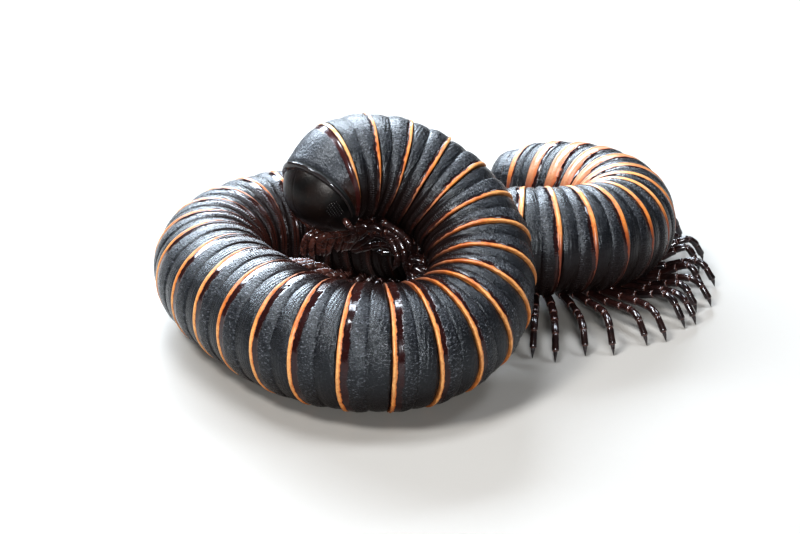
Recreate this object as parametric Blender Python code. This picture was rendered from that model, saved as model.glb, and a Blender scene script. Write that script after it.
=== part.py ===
"""Giant spirostreptid millipede, adult, life size, as a still model.

The body is a jointed cylinder of hard rings.  The front half lies on its side
in a flat coil with the belly towards the middle, and the head end is raised
over the coil.  The hind half stands on its legs and makes a U-turn.

Units are metres in Blender; the named sizes below are millimetres, times MM.
+Z is up, the floor is z = 0, and the animal faces the -X side.
"""
import bpy
import bmesh
import math
import numpy as np
from mathutils import Vector, Matrix

for old in list(bpy.data.objects):
    bpy.data.objects.remove(old, do_unlink=True)

# ------------------------------------------------------------------ sizes (mm)
MM = 0.001
BODY_R = 4.5            # largest radius of the trunk
NECK_R = 3.95           # radius of the first rings, behind the collum
HIND_R = 4.25           # radius of the rings that stand upright
BODY_LENGTH = 107.2     # along the centre line, collum front to the last ring
EDGE_FLARE = 1.02       # rear edge of each ring, raised over the mean radius
FRONT_SINK = 0.955      # front of each ring, tucked into the one before
SIDES = 14              # facets round the trunk
RING_COUNT = 46         # collum = ring 1, the tail piece carries ring 46
RINGS_PER_LENGTH = 4    # rings in each named trunk length
SPLIT_GAP = 0.45        # clear gap between two trunk lengths on the centre line
FLOOR_CUT = 0.0         # every facet below this level is planed to a flat
LEG_R = 0.37            # corner radius of the three-sided legs, 0.55 mm thick
LEG_SOCKETS = (0.17, 0.36)  # sockets from the belly line, times the radius

# Stations of the centre line, head to tail: x, y, z in mm, and the roll of the
# belly in degrees (0: belly faces the middle of the coil, 90: straight down).
STATIONS = [
    (-6.8, -13.9, 12.8, 86), (-2.2, -11.7, 13.3, 84), (2.5, -11.9, 11.5, 72),
    (5.5, -14.6, 8.6, 46), (5.6, -18.8, 6.0, 24), (2.7, -22.6, 4.6, 8),
    (-2.1, -24.1, 4.5, 0), (-6.7, -22.3, 4.5, 0), (-10.2, -18.5, 4.5, 0),
    (-13.0, -14.3, 4.5, 2), (-14.4, -9.5, 4.5, 8), (-12.9, -4.7, 4.5, 20),
    (-8.8, -1.8, 4.5, 36), (-3.7, -1.7, 4.5, 52), (1.0, -3.5, 4.6, 66),
    (5.5, -6.0, 5.0, 80), (10.3, -7.5, 5.5, 90), (15.1, -6.1, 5.2, 90),
    (17.9, -2.0, 4.7, 90), (17.5, 3.0, 4.5, 90), (14.3, 6.9, 4.3, 90),
    (10.2, 9.9, 3.9, 90)]

# The origin is on the floor, under the middle of the whole animal's box.
ORIGIN = (3.244, -7.794)

# Rear edge of a few rings, by distance along the centre line (ring, mm).  The
# rings telescope, so they stand further apart where the coil is tightest.
RING_EDGES = [(1, 2.6), (9, 20.9), (13, 29.5), (16, 36.6), (18, 42.6),
              (20, 48.6), (25, 60.3), (34, 81.1), (40, 92.4), (46, 106.3)]


# ------------------------------------------------------------- centre line
def natural_cubic(t, y):
    """Second derivatives of the natural cubic spline through (t, y)."""
    n = len(t)
    a = np.zeros((n, n))
    b = np.zeros((n, y.shape[1]))
    a[0, 0] = a[-1, -1] = 1.0
    for i in range(1, n - 1):
        h0, h1 = t[i] - t[i - 1], t[i + 1] - t[i]
        a[i, i - 1], a[i, i], a[i, i + 1] = h0, 2 * (h0 + h1), h1
        b[i] = 6 * ((y[i + 1] - y[i]) / h1 - (y[i] - y[i - 1]) / h0)
    return np.linalg.solve(a, b)


def sample_route():
    """Dense table of the centre line: arc length, point, tangent, roll."""
    pts = np.array(STATIONS, float)
    pts[:, :2] -= ORIGIN
    step = np.linalg.norm(np.diff(pts[:, :3], axis=0), axis=1)
    t = np.concatenate([[0.0], np.cumsum(step)])
    m = natural_cubic(t, pts)
    u = np.linspace(-0.06 * t[-1], t[-1] * 1.04, 2400)
    out = np.zeros((len(u), 4))
    for j, q in enumerate(u):
        i = int(np.clip(np.searchsorted(t, q) - 1, 0, len(t) - 2))
        h = t[i + 1] - t[i]
        q_in = min(max(q, t[0]), t[-1])
        a, b = (t[i + 1] - q_in) / h, (q_in - t[i]) / h
        out[j] = (a * pts[i] + b * pts[i + 1]
                  + ((a ** 3 - a) * m[i] + (b ** 3 - b) * m[i + 1]) * h * h / 6)
        if q != q_in:                      # straight on past both ends
            k = (pts[i + 1] - pts[i]) / h
            k = k - h / 6 * (2 * m[i] + m[i + 1]) if q < q_in else \
                k + h / 6 * (m[i] + 2 * m[i + 1])
            out[j, :3] += k[:3] * (q - q_in)
    arc = np.concatenate([[0.0], np.cumsum(
        np.linalg.norm(np.diff(out[:, :3], axis=0), axis=1))])
    arc -= np.interp(0.0, u, arc)
    tan = np.gradient(out[:, :3], arc, axis=0)
    tan /= np.linalg.norm(tan, axis=1)[:, None]
    return arc, out[:, :3], tan, out[:, 3]


ARC, LINE, TANGENT, ROLL = sample_route()


def frame_at(s):
    """Point and axes at distance s: tail-ward T, belly-ward V, sideways B."""
    p = np.array([np.interp(s, ARC, LINE[:, k]) for k in range(3)])
    t = np.array([np.interp(s, ARC, TANGENT[:, k]) for k in range(3)])
    t /= np.linalg.norm(t)
    right = np.cross(t, (0.0, 0.0, 1.0))
    right /= np.linalg.norm(right)
    down = np.cross(t, right)
    a = math.radians(np.interp(s, ARC, ROLL))
    v = math.cos(a) * right + math.sin(a) * down
    return p, t, v, np.cross(t, v)


def radius_at(s):
    r = np.interp(s, [0, 4.5, 18, 28, 66, 76, 94], [
        NECK_R * 0.94, NECK_R, NECK_R, BODY_R, BODY_R, HIND_R, HIND_R])
    tail = min(max((BODY_LENGTH - s) / 10.8, 0.0), 1.0)
    return r * (0.55 + 0.45 * math.sqrt(1.0 - (1.0 - tail) ** 2))


def edge_of(k):
    ks, ss = zip(*RING_EDGES)
    return float(np.interp(k, ks, ss))


def section(s, scale, offset=0.0):
    """Loop of points round the trunk: a circle with a slightly flat belly."""
    p, t, v, b = frame_at(s)
    r = radius_at(s) * scale * 1.01 + offset
    loop = []
    for i in range(SIDES):
        a = 2 * math.pi * (i + 0.5) / SIDES        # 0 is the back
        flat = 1.0 - 0.06 * max(0.0, -math.cos(a)) ** 6
        loop.append((p + r * flat * (-math.cos(a) * v + math.sin(a) * b)))
    return loop


# ------------------------------------------------------------------ meshes
parts = bpy.data.collections.new("giant_millipede")
cutters = bpy.data.collections.new("cutters")
bpy.context.scene.collection.children.link(parts)
bpy.context.scene.collection.children.link(cutters)


def material(name, colour, rough, metal=0.0):
    m = bpy.data.materials.new(name)
    m.use_nodes = True
    bsdf = m.node_tree.nodes["Principled BSDF"]
    bsdf.inputs["Base Color"].default_value = (*colour, 1.0)
    bsdf.inputs["Roughness"].default_value = rough
    bsdf.inputs["Metallic"].default_value = metal
    return m


def add_object(name, bm, mat, coll):
    bmesh.ops.recalc_face_normals(bm, faces=bm.faces)
    bmesh.ops.triangulate(bm, faces=bm.faces)       # flat faces only
    me = bpy.data.meshes.new(name)
    bm.to_mesh(me)
    bm.free()
    ob = bpy.data.objects.new(name, me)
    coll.objects.link(ob)
    if mat is not None:
        me.materials.append(mat)
    if coll is cutters:
        ob.hide_render = True
        ob.display_type = 'WIRE'
    return ob


def loft(bm, loops):
    """Skin a row of loops, given in mm, and close both ends."""
    rows = [[bm.verts.new(Vector(q) * MM) for q in loop] for loop in loops]
    n = len(rows[0])
    for a, b in zip(rows[:-1], rows[1:]):
        for i in range(n):
            j = (i + 1) % n
            bm.faces.new((a[i], a[j], b[j], b[i]))
    bm.faces.new(rows[0][::-1])
    bm.faces.new(rows[-1])


def tube(bm, path, radii, sides=4, flat_end=False):
    """Tapered limb along a path in mm; flat_end keeps the last loop level."""
    path = [np.array(q, float) for q in path]
    loops = []
    for i, q in enumerate(path):
        d = path[min(i + 1, len(path) - 1)] - path[max(i - 1, 0)]
        d /= np.linalg.norm(d)
        if flat_end and i == len(path) - 1:
            d = np.array((0.0, 0.0, -1.0))
        if i == 0:
            ref = np.cross(d, (0.0, 0.0, 1.0))
            if np.linalg.norm(ref) < 0.2:
                ref = np.cross(d, (1.0, 0.0, 0.0))
        ref = ref - d * np.dot(ref, d)
        ref /= np.linalg.norm(ref)
        side = np.cross(d, ref)
        loops.append([q + radii[i] * (math.cos(a) * ref + math.sin(a) * side)
                      for a in (2 * math.pi * (k + 0.5) / sides
                                for k in range(sides))])
    loft(bm, loops)


def boolean(ob, other, operation, self_cross=False):
    mod = ob.modifiers.new(operation.lower() + "_" + other.name, 'BOOLEAN')
    mod.operation = operation
    mod.solver = 'EXACT'
    mod.use_self = self_cross
    mod.object = other


def slab(name, low, high):
    """Box in mm between two corners, used to plane things level."""
    bpy.ops.mesh.primitive_cube_add(size=1.0)
    ob = bpy.context.active_object
    ob.name = name
    for c in list(ob.users_collection):
        c.objects.unlink(ob)
    cutters.objects.link(ob)
    low, high = np.array(low, float), np.array(high, float)
    ob.data.transform(Matrix.Translation(Vector((low + high) / 2 * MM))
                      @ Matrix.Diagonal((*((high - low) * MM), 1.0)))
    ob.hide_render = True
    ob.display_type = 'WIRE'
    return ob


# ------------------------------------------------------------------- limbs
def blend(a, b, w):
    return a * (1.0 - w) + b * w


def ramp(x, x0, x1):
    u = min(max((x - x0) / (x1 - x0), 0.0), 1.0)
    return u * u * (3 - 2 * u)


def side_reach(s, outer):
    """How far a standing leg spreads from the body's middle line, in mm."""
    if outer:       # toward the outside of the U-turn
        return float(np.interp(s, [58, 66, 74, 80, 87, 90, 93, 104], [
            5.6, 5.8, 7.2, 9.6, 9.2, 7.9, 6.9, 6.4]))
    return float(np.interp(s, [58, 66, 74, 80, 96, 104], [
        6.6, 6.6, 5.0, 3.1, 3.1, 4.6]))


def leg_path(s, side, odd, lean):
    """Points of a leg.  side -1 is up in the coil and outside in the U-turn;
    lean -1 to 1 is the place in its trunk length, front to rear."""
    p, t, v, b = frame_at(s)
    r = radius_at(s)
    out = side * b

    def local(vv, bb, tt):
        return p + v * vv + out * bb - t * tt * lean
    root = local(0.86 * r, r * LEG_SOCKETS[odd], 0.0)
    w = ramp(np.interp(s, ARC, ROLL), 48, 74) * ramp(s, 60, 70)
    if w < 0.5:
        # held in the air inside the coil, in two staggered ranks
        short = 1.0 - 0.25 * ramp(18 - s, 0, 6) * (side < 0)
        if odd:
            pts = [root, local(r + 0.30, 2.5 * short, 0.10),
                   local(r + 0.25, 4.2 * short, 0.30)]
        else:
            pts = [root, local(r + 1.15, 1.3 * short, 0.15),
                   local(r + 1.75, 2.9 * short, 0.35)]
        inward = np.cross(t, (0.0, 0.0, 1.0))
        for i in (1, 2):                # clear of the floor, rank by rank
            low = (0.52 if odd else 1.30) + 0.12 * i
            if pts[i][2] < low:
                far = np.linalg.norm(pts[i] - pts[i - 1])
                rise = low - pts[i - 1][2]
                step = math.sqrt(max(far * far - rise * rise, 1.0))
                pts[i] = pts[i - 1] + inward * step - t * 0.35 * lean
                pts[i][2] = low
        return pts, False
    # standing on the floor
    flat = np.array((out[0], out[1], 0.0))
    flat /= max(np.linalg.norm(flat), 1e-6)
    rank = 0.30 if side < 0 else 0.60
    reach = side_reach(s, side < 0) + (rank if odd else -rank)
    base = np.array((p[0], p[1], 0.0)) - t * 0.3 * lean
    foot = base + flat * reach - t * 0.25 * lean
    foot[2] = -0.2                            # planed level at the floor
    knee = base + flat * (reach * 0.80)
    knee[2] = 2.1 if reach > 6.3 else 1.4
    if reach < 4.2:                           # bunched inside the turn
        knee[2] = 1.55 if odd else 1.15
        return [root, knee, foot], True
    hip = base + flat * (reach * (0.48 if odd else 0.40))
    hip[2] = max(p[2] - r + (0.65 if odd else 0.25), 0.75)
    return [root, hip, knee, foot], True


def add_leg(bm, s, side, odd, lean):
    pts, stands = leg_path(s, side, odd, lean)
    h = LEG_R
    if stands:
        tube(bm, pts, [h, h * 1.12, h * 1.05, h][-len(pts):], 3, True)
    else:
        tube(bm, pts, [h, h * 1.08, h * 0.95], 3)


# ------------------------------------------------------------------- trunk
shell = material("ring_shell", (0.012, 0.012, 0.014), 0.34)
hide = material("collum_shell", (0.020, 0.020, 0.023), 0.38)
face = material("head_shell", (0.022, 0.010, 0.008), 0.20)
horn = material("limb_shell", (0.055, 0.018, 0.010), 0.25)
bead = material("eye_bead", (0.006, 0.006, 0.007), 0.12)

floor = slab("floor_plane", (-45, -45, -12), (45, 45, FLOOR_CUT))

first = 2
number = 1
while first < RING_COUNT:
    last = first + RINGS_PER_LENGTH - 1
    loops = []
    for k in range(first, last + 1):
        s0, s1 = edge_of(k - 1), edge_of(k)
        front = s0 + (SPLIT_GAP / 2 if k == first else 0.14)
        rear = s1 - (SPLIT_GAP / 2 if k == last else 0.10)
        loops.append(section(front, FRONT_SINK))
        loops.append(section(rear, EDGE_FLARE))
    bm = bmesh.new()
    loft(bm, loops)
    name = "trunk_%02d" % number
    ob = add_object(name, bm, shell, parts)
    # legs: none on the collum, one pair on rings 2 to 4, then two pairs
    middle = (edge_of(first - 1) + edge_of(last)) / 2
    bm = bmesh.new()
    for side, odd in ((-1, 0), (-1, 1), (1, 0), (1, 1)):
        for k in range(first, last + 1):
            s0, s1 = edge_of(k - 1), edge_of(k)
            spots = (0.55,) if k <= 4 else (0.30, 0.74)
            if odd < len(spots):
                here = s0 + (s1 - s0) * spots[odd]
                lean = (here - middle) / (middle - edge_of(first - 1))
                sway = 0.05 * math.sin(2.3 * k + 1.1 * side + 0.7 * odd)
                add_leg(bm, here - 0.12 * lean + sway, side, odd, lean)
    legs = add_object("legs_%02d" % number, bm, horn, cutters)
    boolean(ob, legs, 'UNION', True)
    boolean(ob, floor, 'DIFFERENCE')
    first = last + 1
    number += 1

# -------------------------------------------------------------------- tail
# The last ring and the rounded tail piece that closes the body.
bm = bmesh.new()
s0 = edge_of(RING_COUNT - 1)
loops = [section(s0 + SPLIT_GAP / 2, FRONT_SINK),
         section(edge_of(RING_COUNT) - 0.10, EDGE_FLARE),
         section(edge_of(RING_COUNT) + 0.05, FRONT_SINK)]
for ds, k in ((1.1, 0.90), (2.1, 0.72), (2.9, 0.44)):
    loops.append(section(edge_of(RING_COUNT) + ds, k))
loft(bm, loops)
tail = add_object("tail", bm, shell, parts)
boolean(tail, floor, 'DIFFERENCE')

# ---------------------------------------------------------- head and collum
HEAD_WIDE = 3.15        # half width
HEAD_TALL = 3.05        # half height, crown to lip
HEAD_DEEP = 3.00        # half depth, nape to brow
HEAD_AT = 1.3           # centre of the head along the centre line
HEAD_DROP = 0.75        # and below it, towards the belly
FACE_DOWN = 21.0        # the face looks down and a little to its left
FACE_LEFT = 12.0
RIM_AT = 0.92           # front edge of the collum, ahead of the head's centre
COLLUM_R = 3.36         # dome of the collum over the head
COLLUM_REAR_R = 3.76    # its rear edge

P0, T0, V0, B0 = frame_at(HEAD_AT)
P1, T1, V1, B1 = frame_at(0.0)
HEAD_C = P0 + V0 * HEAD_DROP
N_FACE = (-T1 + V1 * math.tan(math.radians(FACE_DOWN))
          - B1 * math.tan(math.radians(FACE_LEFT)))
N_FACE /= np.linalg.norm(N_FACE)
S_FACE = np.cross(-V1, N_FACE)          # across the face
S_FACE /= np.linalg.norm(S_FACE)
U_FACE = np.cross(N_FACE, S_FACE)       # up the face, to the crown
AX = (S_FACE, N_FACE, -U_FACE)


def collum_loops():
    """First shield, a helmet over the nape: full ring behind, then a dome
    that draws in over the crown of the head."""
    loops = []
    for i in range(8):
        u = SPLIT_GAP / 2 + 0.56 * i                # ahead of the rear edge
        s = edge_of(1) - u
        p, t, v, b = frame_at(s)
        w = ramp(u, 0.0, 2.8)
        dome = COLLUM_R * math.sqrt(1.0 - ((HEAD_AT - s) / COLLUM_R) ** 2)
        r = blend(COLLUM_REAR_R, dome, w)
        c = p + v * HEAD_DROP * w
        loops.append([c + r * (-math.cos(a) * v + math.sin(a) * b)
                      for a in (2 * math.pi * (k + 0.5) / SIDES
                                for k in range(SIDES))])
    return loops


def face_box(name, offset):
    """Room in front of the leaning front edge of the collum."""
    ob = slab(name, (-8, offset, -8), (8, 12, 8))
    rot = Matrix([Vector(a) for a in AX]).transposed().to_4x4()
    ob.data.transform(Matrix.Translation(Vector(HEAD_C + N_FACE * RIM_AT) * MM)
                      @ rot)
    return ob


bm = bmesh.new()
loft(bm, collum_loops())
collum = add_object("collum", bm, hide, parts)
boolean(collum, face_box("face_side", 0.0), 'DIFFERENCE')


def egg(name, centre, axes, sizes, coll, mat, seg=14, rings=8):
    bpy.ops.mesh.primitive_uv_sphere_add(segments=seg, ring_count=rings,
                                         radius=1.0)
    ob = bpy.context.active_object
    ob.name = name
    for c in list(ob.users_collection):
        c.objects.unlink(ob)
    coll.objects.link(ob)
    rot = Matrix([Vector(a) for a in axes]).transposed().to_4x4()
    ob.data.transform(Matrix.Translation(Vector(centre) * MM) @ rot
                      @ Matrix.Diagonal((*(q * MM for q in sizes), 1.0)))
    if np.linalg.det(np.array(axes)) < 0:
        ob.data.flip_normals()
    if mat is not None:
        ob.data.materials.append(mat)
    if coll is cutters:
        ob.hide_render = True
        ob.display_type = 'WIRE'
    return ob


# head capsule: an oval dome, two cheeks (mandible bases) and a lip
head = egg("head", HEAD_C, AX, (HEAD_WIDE, HEAD_DEEP, HEAD_TALL), parts, face)
for sgn, word in ((1, "left"), (-1, "right")):
    cheek = egg("cheek_" + word, HEAD_C + S_FACE * sgn * 1.55 - U_FACE * 1.55
                + N_FACE * 0.75, AX, (1.35, 1.35, 1.35), cutters, None, 8, 5)
    boolean(head, cheek, 'UNION')
lip = egg("lip", HEAD_C - U_FACE * 2.05 + N_FACE * 1.15, AX,
          (1.6, 1.1, 1.05), cutters, None, 8, 5)
boolean(head, lip, 'UNION')
nape = slab("nape", (-8, -12, -8), (8, 0, 8))
nape.data.transform(
    Matrix.Translation(Vector(HEAD_C + N_FACE * (RIM_AT + 0.3)) * MM)
    @ Matrix([Vector(a) for a in AX]).transposed().to_4x4())
boolean(head, nape, 'DIFFERENCE')

# eyes: low oval beads in shallow pits beside the antennae
EYE_SIZE = (0.42, 0.66, 0.24)
SIDE_OUT = {}
for sgn, word in ((1, "left"), (-1, "right")):
    out = S_FACE * sgn * 0.84 + N_FACE * 0.52 - U_FACE * 0.06
    out /= np.linalg.norm(out)
    k = 1.0 / math.sqrt((np.dot(out, S_FACE) / HEAD_WIDE) ** 2
                        + (np.dot(out, N_FACE) / HEAD_DEEP) ** 2
                        + (np.dot(out, U_FACE) / HEAD_TALL) ** 2)
    spot = HEAD_C + out * k
    along = U_FACE - out * np.dot(U_FACE, out)
    along /= np.linalg.norm(along)
    axes = (np.cross(along, out), along, out)
    egg("eye_" + word, spot, axes, EYE_SIZE, parts, bead, 8, 5)
    pit = egg("eye_pit_" + word, spot, axes, [q + 0.28 for q in EYE_SIZE],
              cutters, None, 8, 5)
    boolean(head, pit, 'DIFFERENCE')

# antennae: short segments in an arc, folded down round the cheeks and chin
ANT_STEPS = 5
for sgn, word in ((1, "left"), (-1, "right")):
    path = []
    for i in range(ANT_STEPS + 1):
        u = i / ANT_STEPS
        side = 3.30 + 0.55 * u - 2.85 * u * u
        drop = 1.30 + 4.30 * u - 1.70 * u * u
        fwd = 1.60 - 0.10 * u
        path.append(HEAD_C + S_FACE * sgn * side - U_FACE * drop
                    + N_FACE * fwd)
    radii = [0.30 + 0.08 * math.sin(math.pi * (0.15 + 0.75 * i / ANT_STEPS))
             for i in range(ANT_STEPS + 1)]
    bm = bmesh.new()
    tube(bm, path, radii, sides=5)
    add_object("antenna_" + word, bm, horn, parts)

for ob in parts.objects:
    ob.data.shade_smooth()
    ob.data.set_sharp_from_angle(angle=math.radians(32))
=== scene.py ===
"""Looks of the giant spirostreptid millipede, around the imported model.

Every piece is built here as a mesh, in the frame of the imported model.  Sizes
are millimetres until a mesh is made.  Each ring has its front part, suture,
rear part, gloss band and raised pale rear edge, with the fine lengthwise
ridges of the lower flanks; then come the collum, head, ocelli, antennae, legs
and tail.
"""
import bpy
import math
import numpy as np
from mathutils import Vector, Matrix


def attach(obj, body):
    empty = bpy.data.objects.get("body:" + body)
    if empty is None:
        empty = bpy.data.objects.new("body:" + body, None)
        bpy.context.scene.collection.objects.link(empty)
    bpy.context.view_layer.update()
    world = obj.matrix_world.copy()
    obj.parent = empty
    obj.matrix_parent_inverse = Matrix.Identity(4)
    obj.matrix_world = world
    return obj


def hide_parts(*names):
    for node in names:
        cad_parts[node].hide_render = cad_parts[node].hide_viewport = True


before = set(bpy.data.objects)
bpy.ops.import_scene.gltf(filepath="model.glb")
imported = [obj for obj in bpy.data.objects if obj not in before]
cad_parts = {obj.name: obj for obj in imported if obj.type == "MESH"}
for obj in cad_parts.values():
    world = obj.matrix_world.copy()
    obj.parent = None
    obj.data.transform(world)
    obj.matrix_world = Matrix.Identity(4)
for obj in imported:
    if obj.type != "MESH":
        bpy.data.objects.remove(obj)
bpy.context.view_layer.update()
MM = 0.001

# ------------------------------------------------------------ the body's line
BODY_R, NECK_R, HIND_R = 4.5, 3.95, 4.25
BODY_LENGTH = 107.2
RING_COUNT = 46
RINGS_PER_LENGTH = 4
SPLIT_GAP = 0.45
LEG_SOCKETS = (0.17, 0.36)
ORIGIN = (3.244, -7.794)
STATIONS = [
    (-6.8, -13.9, 12.8, 86), (-2.2, -11.7, 13.3, 84), (2.5, -11.9, 11.5, 72),
    (5.5, -14.6, 8.6, 46), (5.6, -18.8, 6.0, 24), (2.7, -22.6, 4.6, 8),
    (-2.1, -24.1, 4.5, 0), (-6.7, -22.3, 4.5, 0), (-10.2, -18.5, 4.5, 0),
    (-13.0, -14.3, 4.5, 2), (-14.4, -9.5, 4.5, 8), (-12.9, -4.7, 4.5, 20),
    (-8.8, -1.8, 4.5, 36), (-3.7, -1.7, 4.5, 52), (1.0, -3.5, 4.6, 66),
    (5.5, -6.0, 5.0, 80), (10.3, -7.5, 5.5, 90), (15.1, -6.1, 5.2, 90),
    (17.9, -2.0, 4.7, 90), (17.5, 3.0, 4.5, 90), (14.3, 6.9, 4.3, 90),
    (10.2, 9.9, 3.9, 90)]
RING_EDGES = [(1, 2.6), (9, 20.9), (13, 29.5), (16, 36.6), (18, 42.6),
              (20, 48.6), (25, 60.3), (34, 81.1), (40, 92.4), (46, 106.3)]


def natural_cubic(t, y):
    n = len(t)
    a = np.zeros((n, n))
    b = np.zeros((n, y.shape[1]))
    a[0, 0] = a[-1, -1] = 1.0
    for i in range(1, n - 1):
        h0, h1 = t[i] - t[i - 1], t[i + 1] - t[i]
        a[i, i - 1], a[i, i], a[i, i + 1] = h0, 2 * (h0 + h1), h1
        b[i] = 6 * ((y[i + 1] - y[i]) / h1 - (y[i] - y[i - 1]) / h0)
    return np.linalg.solve(a, b)


def sample_route():
    pts = np.array(STATIONS, float)
    pts[:, :2] -= ORIGIN
    step = np.linalg.norm(np.diff(pts[:, :3], axis=0), axis=1)
    t = np.concatenate([[0.0], np.cumsum(step)])
    m = natural_cubic(t, pts)
    u = np.linspace(-0.06 * t[-1], t[-1] * 1.04, 2400)
    out = np.zeros((len(u), 4))
    for j, q in enumerate(u):
        i = int(np.clip(np.searchsorted(t, q) - 1, 0, len(t) - 2))
        h = t[i + 1] - t[i]
        q_in = min(max(q, t[0]), t[-1])
        a, b = (t[i + 1] - q_in) / h, (q_in - t[i]) / h
        out[j] = (a * pts[i] + b * pts[i + 1]
                  + ((a ** 3 - a) * m[i] + (b ** 3 - b) * m[i + 1]) * h * h / 6)
        if q != q_in:
            k = (pts[i + 1] - pts[i]) / h
            k = k - h / 6 * (2 * m[i] + m[i + 1]) if q < q_in else \
                k + h / 6 * (m[i] + 2 * m[i + 1])
            out[j, :3] += k[:3] * (q - q_in)
    arc = np.concatenate([[0.0], np.cumsum(
        np.linalg.norm(np.diff(out[:, :3], axis=0), axis=1))])
    arc -= np.interp(0.0, u, arc)
    tan = np.gradient(out[:, :3], arc, axis=0)
    tan /= np.linalg.norm(tan, axis=1)[:, None]
    return arc, out[:, :3], tan, out[:, 3]


ARC, LINE, TANGENT, ROLL = sample_route()


def unit(v):
    return v / np.maximum(np.linalg.norm(v, axis=-1, keepdims=True), 1e-12)


def frames(s):
    """Points and axes at the distances s: tail-ward T, belly-ward V, side B."""
    s = np.atleast_1d(np.asarray(s, float))
    p = np.stack([np.interp(s, ARC, LINE[:, k]) for k in range(3)], 1)
    t = unit(np.stack([np.interp(s, ARC, TANGENT[:, k]) for k in range(3)], 1))
    right = unit(np.cross(t, (0.0, 0.0, 1.0)))
    down = np.cross(t, right)
    a = np.radians(np.interp(s, ARC, ROLL))[:, None]
    v = np.cos(a) * right + np.sin(a) * down
    return p, t, v, np.cross(t, v)


def frame_at(s):
    p, t, v, b = frames(s)
    return p[0], t[0], v[0], b[0]


def radius_at(s):
    s = np.asarray(s, float)
    r = np.interp(s, [0, 4.5, 18, 28, 66, 76, 94], [
        NECK_R * 0.94, NECK_R, NECK_R, BODY_R, BODY_R, HIND_R, HIND_R])
    tail = np.clip((BODY_LENGTH - s) / 10.8, 0.0, 1.0)
    return r * (0.55 + 0.45 * np.sqrt(1.0 - (1.0 - tail) ** 2))


def edge_of(k):
    ks, ss = zip(*RING_EDGES)
    return float(np.interp(k, ks, ss))


def ramp(x, x0, x1):
    u = np.clip((np.asarray(x, float) - x0) / (x1 - x0), 0.0, 1.0)
    return u * u * (3 - 2 * u)


def chance(*key):
    """Repeatable number from 0 to 1 for a place on the animal."""
    x = math.sin(sum(k * w for k, w in zip(key, (12.9898, 78.233, 37.719,
                                                 4.581)))) * 43758.5453
    return x - math.floor(x)


# ---------------------------------------------------------------- node graphs
class Graph:
    """Short calls for a material's nodes."""

    def __init__(self, name):
        self.mat = bpy.data.materials.new(name)
        self.mat.use_nodes = True
        self.nt = self.mat.node_tree
        self.out = self.nt.nodes["Material Output"]
        self.bsdf = self.nt.nodes["Principled BSDF"]
        coord = self.nt.nodes.new("ShaderNodeTexCoord")
        scale = self.nt.nodes.new("ShaderNodeVectorMath")
        scale.operation = 'SCALE'
        scale.inputs["Scale"].default_value = 1000.0
        self.nt.links.new(coord.outputs["Object"], scale.inputs[0])
        self.mm = scale.outputs[0]          # place in millimetres

    def put(self, socket, value):
        if hasattr(value, "is_output"):
            self.nt.links.new(value, socket)
        elif isinstance(value, tuple) and len(value) == 3 and \
                socket.type == 'RGBA':
            socket.default_value = (*value, 1.0)
        else:
            socket.default_value = value

    def attr(self, name, kind="Fac"):
        n = self.nt.nodes.new("ShaderNodeAttribute")
        n.attribute_name = name
        return n.outputs[kind]

    def m(self, op, a, b=0.0, c=0.0, clamp=False):
        n = self.nt.nodes.new("ShaderNodeMath")
        n.operation = op
        n.use_clamp = clamp
        for s, v in zip(n.inputs, (a, b, c)):
            self.put(s, v)
        return n.outputs[0]

    def step(self, x, x0, x1, y0=0.0, y1=1.0):
        n = self.nt.nodes.new("ShaderNodeMapRange")
        n.interpolation_type = 'SMOOTHSTEP'
        self.put(n.inputs["Value"], x)
        for key, v in (("From Min", x0), ("From Max", x1),
                       ("To Min", y0), ("To Max", y1)):
            self.put(n.inputs[key], v)
        return n.outputs["Result"]

    def mix(self, fac, a, b):
        n = self.nt.nodes.new("ShaderNodeMix")
        n.data_type = 'RGBA'
        self.put(n.inputs["Factor"], fac)
        self.put(n.inputs[6], a)
        self.put(n.inputs[7], b)
        return n.outputs[2]

    def mixf(self, fac, a, b):
        n = self.nt.nodes.new("ShaderNodeMix")
        n.data_type = 'FLOAT'
        self.put(n.inputs["Factor"], fac)
        self.put(n.inputs[2], a)
        self.put(n.inputs[3], b)
        return n.outputs[0]

    def noise(self, scale, detail=2.0, rough=0.5, vector=None, warp=0.0):
        n = self.nt.nodes.new("ShaderNodeTexNoise")
        self.put(n.inputs["Vector"], self.mm if vector is None else vector)
        n.inputs["Scale"].default_value = scale
        n.inputs["Detail"].default_value = detail
        n.inputs["Roughness"].default_value = rough
        n.inputs["Distortion"].default_value = warp
        return n.outputs["Fac"]

    def cells(self, scale, feature='F1', vector=None):
        n = self.nt.nodes.new("ShaderNodeTexVoronoi")
        n.feature = feature
        self.put(n.inputs["Vector"], self.mm if vector is None else vector)
        n.inputs["Scale"].default_value = scale
        return n.outputs["Distance"]

    def join(self, x, y, z):
        n = self.nt.nodes.new("ShaderNodeCombineXYZ")
        for s, v in zip(n.inputs, (x, y, z)):
            self.put(s, v)
        return n.outputs[0]

    def bump(self, height, distance, strength=1.0, normal=None):
        n = self.nt.nodes.new("ShaderNodeBump")
        n.inputs["Strength"].default_value = strength
        n.inputs["Distance"].default_value = distance * MM
        self.put(n.inputs["Height"], height)
        if normal is not None:
            self.put(n.inputs["Normal"], normal)
        return n.outputs[0]

    def set(self, **values):
        for key, v in values.items():
            self.put(self.bsdf.inputs[key.replace("_", " ")], v)
        return self.mat


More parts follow.
